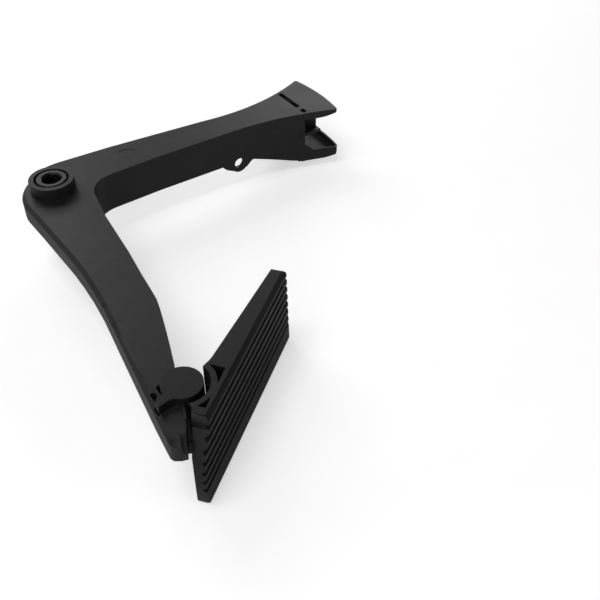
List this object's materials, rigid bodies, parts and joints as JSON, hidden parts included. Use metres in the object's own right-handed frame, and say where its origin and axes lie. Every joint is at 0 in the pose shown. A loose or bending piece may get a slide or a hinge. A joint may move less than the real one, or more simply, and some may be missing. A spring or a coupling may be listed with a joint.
{
  "type": "accelerator pedal",
  "caption": "Moulded bell-crank accelerator lever with a pivot boss and bush, a flared linkage mouth, and a ribbed tread pad that swings on a hinge pin.",
  "frame": {"origin": "on the pivot bore axis, level with the middle of the upper arm's depth", "axes": "+Z along the pivot axis towards the plain moulded face, +X along the upper (linkage) arm, the foot arm runs towards -Y"},
  "size_m": [0.2099, 0.2313, 0.0444],
  "materials": {
    "lever_moulding": "satin",
    "bush_moulding": "satin",
    "pin_moulding": "satin",
    "pad_moulding": "satin"
  },
  "bodies": {
    "lever_body": {"lever": "lever_moulding", "bush": "bush_moulding", "hinge_pin": "pin_moulding"},
    "pad_body": {"pad": "pad_moulding"}
  },
  "joints": [
    {"name": "pad_hinge", "type": "hinge", "parent": "lever_body", "child": "pad_body", "pos_m": [-0.0108, -0.1677, -0.0045], "axis": [0, 0, 1], "range_deg": [-2, 28]}
  ]
}
